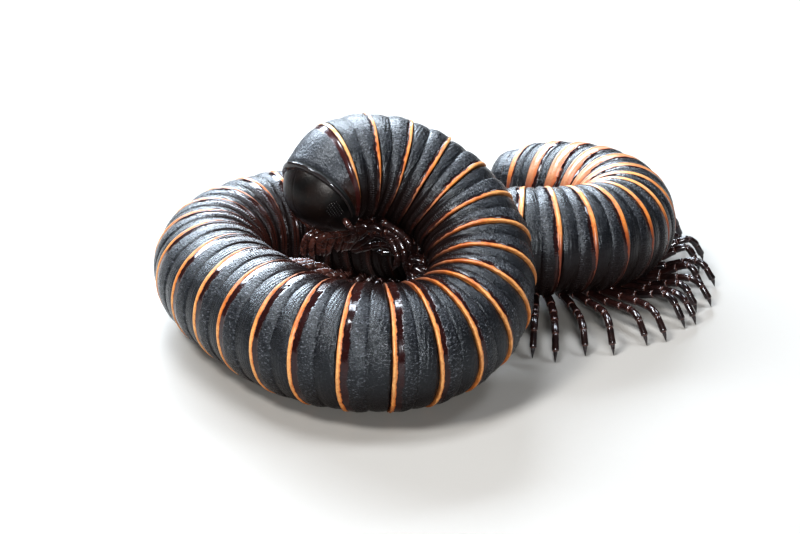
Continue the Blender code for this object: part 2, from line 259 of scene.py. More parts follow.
# ------------------------------------------------------------------ materials
def ring_material(name):
    g = Graph(name)
    q = g.attr("ahead")           # mm ahead of the ring's own rear edge
    u = g.attr("along")           # 0 at the ring's front, 1 at its rear edge
    th = g.attr("round")          # 0 on the back, 1 on the belly line
    width = g.attr("band")        # mm of pale rear edge
    own = g.attr("own")           # a number of the ring's own
    lap = g.attr("lap")           # mm round the ring from the back
    fine = g.noise(5.5, 4.0, 0.68)
    mid = g.noise(1.4, 3.0, 0.55)
    broad = g.noise(0.30, 2.0, 0.5)
    # short scratches that run along the body
    streak = g.noise(1.0, 3.0, 0.65, g.join(
        g.m('MULTIPLY', lap, 6.5), g.m('MULTIPLY', q, 1.7),
        g.m('MULTIPLY', own, 40.0)))
    # the pale edge, narrower towards the belly
    reach = g.m('MULTIPLY', width, g.step(th, 0.30, 0.62, 1.0, 0.24))
    wobble = g.m('MULTIPLY_ADD', g.noise(2.2, 3.0, 0.6), 0.30, -0.15)
    place = g.m('ADD', q, wobble)
    over = g.m('SUBTRACT', place, reach)
    pale = g.step(over, -0.035, 0.035, 1.0, 0.0)
    pale = g.m('MULTIPLY', pale, g.step(g.m('ADD', th, g.m(
        'MULTIPLY_ADD', broad, 0.16, -0.08)), 0.52, 0.70, 1.0, 0.0))
    rust = g.mix(g.step(mid, 0.32, 0.68), (0.35, 0.088, 0.013),
                 (0.58, 0.225, 0.055))
    # creamier on the back: partly the edge's own tint, partly painted top light
    back = g.step(g.m('ADD', th, g.m('MULTIPLY_ADD', broad, 0.6, -0.30)),
                  0.02, 0.40, 0.55, 0.0)
    cream = g.mix(back, rust, (0.72, 0.44, 0.18))
    wide = g.step(width, 0.55, 0.95)
    salmon = g.mix(mid, (0.28, 0.115, 0.058), (0.50, 0.28, 0.165))
    cream = g.mix(g.m('MULTIPLY', wide, 0.75), cream, salmon)
    # front border of the edge is rusty
    crest = g.step(g.m('DIVIDE', place, g.m('MAXIMUM', reach, 0.05)),
                   0.55, 1.0, 0.0, 0.8)
    orange = g.mix(crest, cream, (0.42, 0.090, 0.012))
    orange = g.mix(g.step(th, 0.42, 0.58, 0.0, 0.75), orange,
                   (0.30, 0.17, 0.13))
    orange = g.mix(g.step(fine, 0.48, 0.72, 0.0, 0.62), orange,
                   (0.24, 0.062, 0.016))
    orange = g.mix(g.step(place, 0.0, 0.07, 0.6, 0.0), orange,
                   (0.20, 0.050, 0.012))
    # towards the tail the edge turns maroon low on the flank
    aft = g.m('MULTIPLY', g.step(width, 0.345, 0.375),
              g.step(g.m('ADD', th, g.m('MULTIPLY_ADD', mid, 0.12, -0.06)),
                     0.27, 0.45))
    orange = g.mix(g.m('MULTIPLY', aft, 0.82), orange,
                   (0.120, 0.026, 0.016))
    # gloss band
    shine = g.attr("shine")       # mm of gloss ahead of the pale edge
    worn = g.m('MULTIPLY_ADD', g.noise(0.9, 2.0), 0.30, -0.15)
    gloss = g.m('MULTIPLY', g.step(over, 0.0, 0.05, 0.0, 1.0), g.step(
        g.m('SUBTRACT', g.m('ADD', over, worn), shine),
        -0.06, 0.10, 1.0, 0.0))
    wine = g.mix(g.noise(0.9, 2.0), (0.030, 0.0055, 0.0045),
                 (0.008, 0.003, 0.003))
    wine = g.mix(g.step(th, 0.35, 0.7, 0.0, 0.6), wine,
                 (0.034, 0.012, 0.008))
    # front part / rear part
    rear = g.step(u, 0.41, 0.46)
    dark = g.mix(fine, (0.0020, 0.0022, 0.0030), (0.0060, 0.0065, 0.0090))
    satin = g.mix(fine, (0.0028, 0.0031, 0.0042), (0.0090, 0.0100, 0.0135))
    body = g.mix(rear, dark, satin)
    dash = g.noise(1.0, 2.0, 0.6, g.join(
        g.m('MULTIPLY', lap, 11.0), g.m('MULTIPLY', q, 5.0),
        g.m('MULTIPLY', own, 70.0)))
    # painted glints: pale blue-grey specks in the colour stand in for light
    # sparkling on the grain
    painted_glint = g.m('MULTIPLY', g.step(dash, 0.57, 0.66),
                g.m('MULTIPLY', g.step(mid, 0.30, 0.58, 0.25, 1.0),
                    g.step(th, 0.26, 0.46, 1.0, 0.12)))
    body = g.mix(g.m('MULTIPLY', g.m('MULTIPLY', painted_glint, 0.75),
                     g.step(u, 0.36, 0.48, 0.20, 1.0)), body,
                 (0.170, 0.182, 0.210))
    low = g.step(g.m('ADD', th, g.m('MULTIPLY_ADD', broad, 0.14, -0.07)),
                 0.34, 0.58)
    body = g.mix(g.m('MULTIPLY', low, 0.80), body, (0.0110, 0.0055, 0.0045))
    # painted shade and ground reflection: darker brown and less specular where it
    # lies near the floor, by height
    split = g.nt.nodes.new("ShaderNodeSeparateXYZ")
    g.put(split.inputs[0], g.mm)
    near = g.step(split.outputs[2], 0.8, 4.6, 1.0, 0.0)
    body = g.mix(g.m('MULTIPLY', near, 0.80), body, (0.0085, 0.0046, 0.0038))
    body = g.mix(g.m('MULTIPLY', gloss, 0.9), body, wine)
    colour = g.mix(pale, body, orange)
    # roughness
    grit = g.m('MULTIPLY_ADD', streak, 0.5, g.m('MULTIPLY', fine, 0.5))
    rough = g.m('MULTIPLY_ADD', grit, 0.34, 0.11)
    rough = g.mixf(rear, g.m('MULTIPLY', rough, 0.72), rough)
    rough = g.mixf(g.m('MULTIPLY', low, 0.5), rough, 0.24)
    rough = g.mixf(gloss, rough, 0.13)
    rough = g.mixf(pale, rough, g.m('MULTIPLY_ADD', mid, 0.18, 0.24))
    # relief: grain, pits, scratches, fine lines round the front part
    grain = g.m('MULTIPLY', g.m('MULTIPLY', g.step(th, 0.30, 0.50, 1.0, 0.45),
                                g.m('SUBTRACT', 1.0, gloss)),
                g.m('SUBTRACT', 1.0, g.m('MULTIPLY', pale, 0.75)))
    lines = g.m('SINE', g.m('MULTIPLY_ADD', q, 22.0,
                            g.m('MULTIPLY', g.noise(0.8, 1.0), 7.0)))
    lines = g.m('MULTIPLY', lines, g.m('SUBTRACT', 1.0, rear))
    n1 = g.bump(g.m('MULTIPLY', fine, grain), 0.060, 0.8)
    n2 = g.bump(g.m('MULTIPLY', dash, grain), 0.055, 0.8, n1)
    n3 = g.bump(lines, 0.012, 0.6, n2)
    n4 = g.bump(g.noise(1.6, 2.0), 0.05, 0.30, n3)
    sheen = g.mixf(g.m('MULTIPLY', low, g.m('SUBTRACT', 1.0, gloss)),
                   0.50, 0.26)
    # less specular near the floor, part of the painted ground shade
    sheen = g.mixf(g.m('MULTIPLY', near, 0.9), sheen, 0.14)
    mat = g.set(Base_Color=colour, Roughness=rough, Normal=n4,
                Specular_IOR_Level=sheen)
    g.bsdf.inputs["Specular Tint"].default_value = (0.84, 0.92, 1.0, 1.0)
    return mat


def collum_material(name):
    g = Graph(name)
    q = g.attr("ahead")           # mm ahead of the rear edge
    f = g.attr("behind")          # mm behind the front rim
    th = g.attr("round")
    fine = g.noise(5.5, 4.0, 0.68)
    mid = g.noise(1.3, 3.0, 0.55)
    wobble = g.m('MULTIPLY_ADD', g.noise(3.0, 2.0), 0.08, -0.04)
    place = g.m('ADD', q, wobble)
    width = g.step(th, 0.34, 0.62, 0.26, 0.05)
    over = g.m('SUBTRACT', place, width)
    pale = g.step(over, -0.05, 0.04, 1.0, 0.0)
    cream = g.mix(g.step(mid, 0.35, 0.65), (0.78, 0.40, 0.13),
                  (0.90, 0.66, 0.36))
    # creamier on the back, deeper orange down the sides: partly the edge's own
    # tint, partly painted top light
    cream = g.mix(g.step(th, 0.08, 0.40), cream, (0.56, 0.25, 0.09))
    pale = g.m('MULTIPLY', pale, g.step(th, 0.50, 0.72, 1.0, 0.0))
    gloss = g.m('MULTIPLY', g.step(over, 0.0, 0.06), g.step(over, 0.34, 0.50,
                                                           1.0, 0.0))
    rim = g.step(f, 0.15, 0.20, 1.0, 0.0)
    groove = g.m('MULTIPLY', g.step(f, 0.15, 0.20), g.step(f, 0.34, 0.50,
                                                          1.0, 0.0))
    low = g.step(g.m('ADD', th, g.m('MULTIPLY', mid, 0.10)), 0.40, 0.56)
    satin = g.mix(fine, (0.006, 0.007, 0.009), (0.020, 0.022, 0.028))
    # painted glints: pale blue-grey specks in the colour stand in for light
    # sparkling on the grain
    painted_glint = g.step(g.noise(7.5, 2.0, 0.6), 0.55, 0.68)
    satin = g.mix(g.m('MULTIPLY', painted_glint, 0.6), satin, (0.120, 0.130, 0.155))
    brown = g.mix(g.noise(0.8, 3.0), (0.030, 0.012, 0.008),
                  (0.014, 0.007, 0.005))
    body = g.mix(low, satin, brown)
    # painted shade: the furrow behind the rim bead is coloured near black
    body = g.mix(groove, body, (0.003, 0.003, 0.003))
    body = g.mix(rim, body, (0.022, 0.018, 0.018))
    body = g.mix(g.m('MULTIPLY', gloss, 0.9), body, (0.040, 0.008, 0.007))
    colour = g.mix(pale, body, cream)
    sat = g.m('MULTIPLY_ADD', fine, 0.22, 0.24)
    rough = g.mixf(low, sat, 0.20)
    rough = g.mixf(gloss, rough, 0.22)
    rough = g.mixf(groove, rough, 0.50)
    rough = g.mixf(rim, rough, 0.10)
    rough = g.mixf(pale, rough, 0.28)
    smooth = g.m('MAXIMUM', g.m('MAXIMUM', rim, gloss),
                 g.m('MAXIMUM', g.m('MULTIPLY', low, 0.85), pale))
    grain = g.m('SUBTRACT', 1.0, smooth)
    n1 = g.bump(g.m('MULTIPLY', fine, grain), 0.045, 0.9)
    n2 = g.bump(g.m('MULTIPLY', g.cells(5.0), grain), 0.025, 0.60, n1)
    n3 = g.bump(g.noise(1.8, 2.0), 0.03, 0.25, n2)
    mat = g.set(Base_Color=colour, Roughness=rough, Normal=n3)
    g.bsdf.inputs["Specular Tint"].default_value = (0.84, 0.92, 1.0, 1.0)
    return mat


def head_material(name):
    g = Graph(name)
    up = g.attr("crown")          # 0 at the lip, 1 at the crown
    cut = g.attr("cut")           # 1 in the furrows between the plates
    mid = g.noise(0.55, 4.0, 0.55)
    fine = g.noise(7.0, 3.0, 0.6)
    base = g.mix(g.step(mid, 0.36, 0.66), (0.0030, 0.0026, 0.0028),
                 (0.0085, 0.0048, 0.0040))
    base = g.mix(g.step(g.m('ADD', up, g.m('MULTIPLY', mid, 0.25)), 0.0, 0.30,
                        0.65, 0.0), base, (0.040, 0.012, 0.006))
    speck = g.step(g.cells(3.1), 0.10, 0.16, 1.0, 0.0)
    speck = g.m('MULTIPLY', speck, g.step(g.noise(0.7, 1.0), 0.50, 0.62))
    base = g.mix(g.m('MULTIPLY', speck, 0.22), base, (0.10, 0.06, 0.04))
    base = g.mix(cut, base, (0.004, 0.002, 0.002))
    rough = g.m('MULTIPLY_ADD', fine, 0.22, 0.24)
    rough = g.mixf(g.step(mid, 0.40, 0.70, 0.0, 0.5), rough, 0.42)
    n1 = g.bump(g.noise(6.0, 4.0, 0.65), 0.035, 0.55)
    n2 = g.bump(g.step(g.cells(2.2), 0.0, 0.14), 0.02, 0.30, n1)
    n3 = g.bump(g.noise(1.1, 2.0), 0.05, 0.20, n2)
    g.bsdf.inputs["Specular IOR Level"].default_value = 0.30
    return g.set(Base_Color=base, Roughness=rough, Normal=n3)


def limb_material(name):
    g = Graph(name)
    t = g.attr("limb")            # 0 at the socket, 1 at the claw's tip
    joint = g.attr("joint")       # 1 at the soft joints
    own = g.attr("own")
    mid = g.noise(1.6, 3.0, 0.55)
    base = g.mix(g.step(g.m('ADD', mid, g.m('MULTIPLY', own, 0.2)), 0.38,
                        0.72), (0.0060, 0.0036, 0.0038), (0.020, 0.0078, 0.0068))
    base = g.mix(g.step(t, 0.55, 0.97, 0.0, 0.55), base,
                 (0.010, 0.005, 0.0045))
    # painted light: legs in the middle of the coil, chosen by place in the scene,
    # are coloured paler and redder
    split = g.nt.nodes.new("ShaderNodeSeparateXYZ")
    g.put(split.inputs[0], g.mm)
    inner = g.step(split.outputs[0], -9.0, -5.0, 1.0, 0.0)
    base = g.mix(g.m('MULTIPLY', inner, 0.85), base,
                 g.mix(g.step(mid, 0.35, 0.65), (0.034, 0.0130, 0.0105),
                       (0.105, 0.0400, 0.0300)))
    base = g.mix(g.m('MULTIPLY', joint, 0.45), base, (0.16, 0.050, 0.028))
    rough = g.m('MULTIPLY_ADD', g.noise(6.0, 2.0), 0.14, 0.10)
    rough = g.mixf(joint, rough, 0.34)
    g.bsdf.inputs["Specular IOR Level"].default_value = 0.85
    g.bsdf.inputs["Specular Tint"].default_value = (0.88, 0.93, 1.0, 1.0)
    n1 = g.bump(g.noise(9.0, 3.0, 0.6), 0.012, 0.40)
    n2 = g.bump(g.noise(2.5, 1.0), 0.02, 0.30, n1)
    return g.set(Base_Color=base, Roughness=rough, Normal=n2)


def eye_material(name):
    g = Graph(name)
    base = g.mix(g.noise(5.0, 2.0), (0.004, 0.004, 0.005),
                 (0.014, 0.010, 0.010))
    rough = g.m('MULTIPLY_ADD', g.noise(9.0), 0.08, 0.06)
    n1 = g.bump(g.noise(14.0, 2.0), 0.004, 0.3)
    return g.set(Base_Color=base, Roughness=rough, Normal=n1)


RING_MAT = ring_material("ring_shell")
COLLUM_MAT = collum_material("collum_shell")
HEAD_MAT = head_material("head_shell")
LIMB_MAT = limb_material("limb_shell")
EYE_MAT = eye_material("eye_bead")


# --------------------------------------------------------------------- meshes
def make_piece(name, verts, faces, mat, attrs=None, slot=None, replaces=()):
    """Mesh piece from points in mm; attrs are per-point numbers."""
    me = bpy.data.meshes.new(name)
    me.from_pydata((np.asarray(verts) * MM).tolist(), [], faces)
    me.update()
    for key, values in (attrs or {}).items():
        a = me.attributes.new(key, 'FLOAT', 'POINT')
        a.data.foreach_set("value", np.asarray(values, np.float32))
    me.polygons.foreach_set("use_smooth", np.ones(len(me.polygons), bool))
    me.materials.append(mat)
    ob = bpy.data.objects.new(name, me)
    bpy.context.scene.collection.objects.link(ob)
    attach(ob, "root")
    if replaces:
        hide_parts(*replaces)
    return ob


def tube_faces(rows, cols, start=0, caps=True):
    """Quads of a closed tube of rows by cols, normals outward when the rows
    run along T and the columns turn from the back towards B."""
    i, j = np.meshgrid(np.arange(rows - 1), np.arange(cols), indexing="ij")
    a = start + i * cols + j
    b = a + cols
    jn = (j + 1) % cols
    c = start + (i + 1) * cols + jn
    d = start + i * cols + jn
    faces = np.stack([a, b, c, d], -1).reshape(-1, 4).tolist()
    if caps:
        faces.append([start + k for k in range(cols)])
        faces.append([start + (rows - 1) * cols + k
                      for k in range(cols)][::-1])
    return faces


class Batch:
    """Collects many small closed forms into one joined mesh."""

    def __init__(self, keys):
        self.v, self.f, self.n = [], [], 0
        self.attrs = {k: [] for k in keys}

    def add(self, verts, faces, **attrs):
        self.v.append(np.asarray(verts, float))
        self.f += [[i + self.n for i in f] for f in faces]
        self.n += len(verts)
        for k in self.attrs:
            a = np.broadcast_to(np.asarray(attrs.get(k, 0.0), float),
                                (len(verts),))
            self.attrs[k].append(a)

    def piece(self, name, mat, **kw):
        return make_piece(name, np.concatenate(self.v), self.f, mat,
                          {k: np.concatenate(a)
                           for k, a in self.attrs.items()}, **kw)


# ---------------------------------------------------------------------- rings
RIDGE_FROM, RIDGE_TO = 66.0, 162.0      # degrees from the back
RIDGE_STEP = 2.55                       # degrees from ridge to ridge
PER_RIDGE = 4


def angle_table():
    """Angles round the ring, closer together where the ridges are."""
    ridges = int(round((RIDGE_TO - RIDGE_FROM) / RIDGE_STEP))
    back = np.linspace(0.0, RIDGE_FROM, 37)[:-1]
    flank = RIDGE_FROM + (RIDGE_TO - RIDGE_FROM) * np.arange(
        ridges * PER_RIDGE) / (ridges * PER_RIDGE)
    belly = np.linspace(RIDGE_TO, 180.0, 9)
    half = np.concatenate([back, flank, belly])
    phase = np.where((half >= RIDGE_FROM) & (half < RIDGE_TO),
                     (half - RIDGE_FROM) / (RIDGE_TO - RIDGE_FROM) * ridges,
                     0.0)
    full = np.concatenate([half, 360.0 - half[-2:0:-1]])
    phase = np.concatenate([phase, phase[-2:0:-1]])
    return np.radians(full), phase


ANGLE, PHASE = angle_table()
TURN = np.abs(np.where(ANGLE > math.pi, 2 * math.pi - ANGLE, ANGLE))
ROUND = TURN / math.pi
SIGNED = np.where(ANGLE > math.pi, ANGLE - 2 * math.pi, ANGLE)
RIDGE = np.abs(np.sin(np.pi * (PHASE % 1.0))) * ramp(
    np.degrees(TURN), RIDGE_FROM, 112.0) * ramp(
    np.degrees(TURN), RIDGE_TO + 0.5, RIDGE_TO - 8.0)


LIP = 0.27          # width of the raised rear edge


def ring_profile(s0, s1, first, last):
    """Rows of one ring from front to rear: distance, height over the mean
    radius, strength of the ridges, strength of the grain, all in mm."""
    pitch = s1 - s0
    lip = LIP
    seam = s0 + 0.43 * pitch
    rows = []
    if first:
        rows.append((s0 + 0.02, -0.70, 0.0, 0.0))
    rows += [(s0 - 0.06 if not first else s0 + 0.0, -0.42, 0.0, 0.0),
             (s0 - 0.01, -0.28, 0.0, 0.0), (s0 + 0.04, -0.175, 0.0, 0.0)]
    for k in range(1, 10):              # front part, barrelled
        w = k / 10.0
        x = s0 + 0.04 + (seam - 0.09 - s0 - 0.04) * w
        rows.append((x, -0.150 + 0.080 * math.sin(math.pi * w) ** 0.7
                     + 0.007 * math.sin(w * 31.0),
                     0.30 * math.sin(math.pi * w), 0.8 * w + 0.1))
    rows += [(seam - 0.07, -0.140, 0.1, 0.5), (seam - 0.02, -0.180, 0.1, 0.2),
             (seam + 0.02, -0.170, 0.5, 0.3), (seam + 0.07, -0.095, 1.0, 0.8)]
    end = s1 - lip - 0.36               # rear part swells up to here
    for k in range(1, 12):
        w = k / 11.0
        x = seam + 0.07 + (end - seam - 0.07) * w
        rows.append((x, -0.095 + 0.105 * math.sin(math.pi / 2 * min(
            w * 1.2, 1.0)) - 0.012 * max(w - 0.85, 0.0) / 0.15, 1.0, 1.0))
    rows += [(s1 - lip - 0.27, -0.008, 0.9, 0.5),
             (s1 - lip - 0.18, -0.018, 0.8, 0.1),
             (s1 - lip - 0.09, -0.026, 0.6, 0.0),
             (s1 - lip - 0.01, -0.030, 0.3, 0.0),
             (s1 - lip * 0.93, -0.016, 0.1, 0.0),
             (s1 - lip * 0.76, 0.014, 0.0, 0.1),
             (s1 - lip * 0.50, 0.028, 0.0, 0.1),
             (s1 - lip * 0.26, 0.026, 0.0, 0.1),
             (s1 - lip * 0.09, 0.008, 0.0, 0.0),
             (s1 - 0.003, -0.030, 0.0, 0.0), (s1 + 0.004, -0.10, 0.0, 0.0),
             (s1 - 0.015, -0.20, 0.0, 0.0), (s1 - 0.045, -0.34, 0.0, 0.0)]
    if last:
        rows.append((s1 - 0.055, -0.70, 0.0, 0.0))
    return rows


def ring_rows(rings):
    """Points and numbers of a row of rings joined into one closed tube."""
    out = []
    for k in rings:
        s0, s1 = edge_of(k - 1), edge_of(k)
        for s, h, g, e in ring_profile(s0, s1, k == rings[0],
                                       k == rings[-1]):
            out.append((s, h, g, e, s1 - s, (s - s0) / (s1 - s0), k))
    return np.array(out, float).T


def skin_of_rings(S, H, G, E, A, U, K):
    """Points of the rings' outer face, and how far each is ahead of its
    ring's rear edge, measured on the surface."""
    n, m = len(S), len(ANGLE)
    ca, sa = np.cos(ANGLE), np.sin(ANGLE)
    flat = 1.0 - 0.06 * np.maximum(0.0, -ca) ** 6

    def base(s):
        P, T, V, B = frames(s)
        R = (radius_at(s) * 1.01)[:, None, None]
        return P[:, None, :] + R * flat[None, :, None] * (
            -ca[None, :, None] * V[:, None, :]
            + sa[None, :, None] * B[:, None, :])
    stretch = np.linalg.norm(base(S + 0.2) - base(S - 0.2), axis=-1) / 0.4
    stretch = np.clip(stretch, 0.35, 2.2)
    pitch = np.array([edge_of(int(k)) - edge_of(int(k) - 1) for k in K])
    q = np.maximum(A, 0.0)
    near = np.minimum(q, LIP)
    fade = 1.0 - np.clip((q - LIP) / (pitch - LIP), 0.0, 1.0)
    delta = (near * fade)[:, None] * (stretch - 1.0)
    ahead = A[:, None] * stretch - delta
    P, T, V, B = frames(S)
    R = radius_at(S) * 1.01
    # the raised edge and the step below it die down towards the belly
    soft = 1.0 - 0.45 * ramp(ROUND, 0.80, 0.97)
    wave = np.zeros((n, m))
    shift = delta.copy()
    for k in sorted(set(K)):
        rows = K == k
        c = [chance(k, i + 1.0) * 6.28 for i in range(3)]
        wave[rows] = (0.010 * np.sin(2 * ANGLE + c[0])
                      + 0.006 * np.sin(5 * ANGLE + c[1]))[None, :] \
            * np.maximum(G[rows], 0.35)[:, None]
        shift[rows] += (0.030 * np.sin(3 * ANGLE + c[2])
                        + 0.015 * np.sin(7 * ANGLE - c[2]))[None, :]
        # grain: short lengthwise scratches and single grains
        dice = np.random.default_rng(int(k) * 7 + 3)
        count = int(rows.sum())
        col = dice.normal(size=(count, m))
        run = col.copy()
        for i in range(1, count):
            run[i] = 0.80 * run[i - 1] + 0.60 * col[i]
        spot = dice.normal(size=(count, m))
        wave[rows] += np.clip(0.0035 * run + 0.0045 * spot, -0.012, 0.012) \
            * E[rows][:, None]
    height = H[:, None] * soft[None, :] + G[:, None] * RIDGE[None, :] * 0.046
    rad = R[:, None] * flat[None, :] + height + wave
    pts = (P[:, None, :] + T[:, None, :] * shift[..., None]
           + rad[..., None] * (-ca[None, :, None] * V[:, None, :]
                               + sa[None, :, None] * B[:, None, :]))
    return pts, ahead, rad


def band_width(k):
    """Width in mm of the pale rear edge of ring k, on the back."""
    return float(np.interp(k, [1, 4, 10, 15, 22, 29, 33, 38, 40, 42, 44, 46], [
        0.24, 0.25, 0.27, 0.33, 0.33, 0.31, 0.38, 0.44, 0.62, 0.90, 1.05, 0.80]))


def shine_width(k):
    """Width in mm of the gloss ahead of the pale rear edge of ring k."""
    return float(np.interp(k, [1, 8, 11, 14, 22, 27, 33, 46], [
        0.12, 0.14, 0.25, 0.50, 0.52, 0.30, 0.20, 0.24]))


def build_rings(name, rings, node):
    S, H, G, E, A, U, K = ring_rows(rings)
    pts, ahead, rad = skin_of_rings(S, H, G, E, A, U, K)
    n, m = ahead.shape
    pts = pts.reshape(-1, 3)
    pts[:, 2] = np.maximum(pts[:, 2], 0.0)
    attrs = {
        "ahead": ahead.ravel(), "along": np.repeat(U, m),
        "round": np.tile(ROUND, n),
        "band": np.repeat([band_width(k) for k in K], m),
        "shine": (np.array([shine_width(k) for k in K])[:, None]
                  * (1.0 + 0.3 * ramp(ROUND, 0.20, 0.45))[None, :]).ravel(),
        "lap": (rad * SIGNED[None, :]).ravel(),
        "own": np.repeat([chance(k, 5.0) for k in K], m)}
    return make_piece(name, pts, tube_faces(n, m), RING_MAT, attrs,
                      slot="ring_shell", replaces=(node,))


first, number = 2, 1
while first < RING_COUNT:
    rings = list(range(first, first + RINGS_PER_LENGTH))
    build_rings("rings_%02d" % number, rings, "trunk_%02d" % number)
    first += RINGS_PER_LENGTH
    number += 1


# ----------------------------------------------------------------------- tail
def build_tail():
    S, H, G, E, A, U, K = ring_rows([RING_COUNT])[:, :-1]
    s_end = edge_of(RING_COUNT)
    m = len(ANGLE)
    ca, sa = np.cos(ANGLE), np.sin(ANGLE)
    flat = 1.0 - 0.06 * np.maximum(0.0, -ca) ** 6
    R = radius_at(S) * 1.01
    rad = R[:, None] * flat[None, :] + H[:, None] * np.ones(m)[None, :] \
        + G[:, None] * RIDGE[None, :] * 0.048
    r_end = float(R[-1] + H[-1])
    rows_s, rows_r, rows_q = list(S), [rad[i] for i in range(len(S))], list(A)
    rows_u = list(U)
    hood = 0.5 - 0.5 * np.cos(np.minimum(TURN * 1.15, math.pi))
    for i in range(1, 8):                       # collar before the valves
        w = i / 7.0
        s = s_end - 0.06 + 0.95 * w
        r = r_end * (1.0 + 0.02 * math.sin(math.pi * w) - 0.035 * w)
        rows_s.append(s)
        rows_r.append(np.full(m, r) * flat)
        rows_q.append(0.9)
        rows_u.append(0.6)
    edge = rows_r[-1].copy()
    rows_s += [s_end + 0.93, s_end + 0.90]      # collar's edge turns in
    rows_r += [edge - 0.05, edge - 0.16]
    rows_q += [0.3, 0.9]
    rows_u += [0.7, 0.7]
    inner = edge - 0.16
    gap = np.abs(sa)                            # 0 on the slit, top and bottom
    for i in range(1, 27):                      # two valves, slit between
        w = i / 26.0
        s = s_end + 0.90 + 2.05 * math.sin(math.pi / 2 * w)
        r = inner * (math.cos(math.pi / 2 * w) ** 0.72 if i < 26 else 0.03)
        lips = np.exp(-((gap * r - 0.30) / 0.10) ** 2) * 0.07
        rows_s.append(s)
        rows_r.append(np.maximum(r + lips - 0.0, 0.02))
        rows_q.append(1.2)
        rows_u.append(0.62)
    S2 = np.array(rows_s)
    rad = np.array(rows_r)
    P, T, V, B = frames(S2)
    pts = P[:, None, :] + rad[..., None] * (
        -ca[None, :, None] * V[:, None, :] + sa[None, :, None] * B[:, None, :])
    # press the slit in along the body's own line
    off = pts - P[:, None, :]
    across = np.einsum("ijk,ik->ij", off, B)
    n0 = len(S2) - 26
    dent = np.exp(-(across / 0.13) ** 2)
    deep = np.zeros(len(S2))
    deep[n0:] = 0.34 * ramp(np.arange(26) / 25.0, 0.0, 0.5)
    pts = pts - T[:, None, :] * (dent * deep[:, None])[..., None]
    pts = pts.reshape(-1, 3)
    pts[:, 2] = np.maximum(pts[:, 2], 0.0)
    n = len(S2)
    attrs = {"ahead": np.repeat(rows_q, m), "along": np.repeat(rows_u, m),
             "round": np.tile(ROUND, n), "band": np.full(n * m, 0.55),
             "shine": np.full(n * m, 0.24),
             "lap": (rad * SIGNED[None, :]).ravel(),
             "own": np.full(n * m, 0.5)}
    return make_piece("tail_rings", pts, tube_faces(n, m), RING_MAT, attrs,
                      slot="ring_shell", replaces=("tail",))


build_tail()

# ------------------------------------------------------------ head and collum
HEAD_WIDE, HEAD_TALL, HEAD_DEEP = 3.15, 3.05, 3.00
HEAD_AT, HEAD_DROP = 1.3, 0.75
FACE_DOWN, FACE_LEFT = 21.0, 12.0
RIM_AT = 0.92
COLLUM_R, COLLUM_REAR_R = 3.36, 3.76
P0, T0, V0, B0 = frame_at(HEAD_AT)
P1, T1, V1, B1 = frame_at(0.0)
HEAD_C = P0 + V0 * HEAD_DROP
N_FACE = unit(-T1 + V1 * math.tan(math.radians(FACE_DOWN))
              - B1 * math.tan(math.radians(FACE_LEFT)))
S_FACE = unit(np.cross(-V1, N_FACE))
U_FACE = np.cross(N_FACE, S_FACE)


def collum_point(u, a):
    """Point of the shield's outer face, u mm ahead of its rear edge."""
    s = edge_of(1) - u
    p, t, v, b = frames(s)
    w = ramp(u, 0.0, 2.8)[:, None]
    dome = COLLUM_R * np.sqrt(np.maximum(
        1.0 - ((HEAD_AT - s) / COLLUM_R) ** 2, 0.02))[:, None]
    r = COLLUM_REAR_R * (1 - w) + dome * w
    c = p + v * HEAD_DROP * w
    radial = -np.cos(a)[:, None] * v + np.sin(a)[:, None] * b
    return c + r * radial, radial


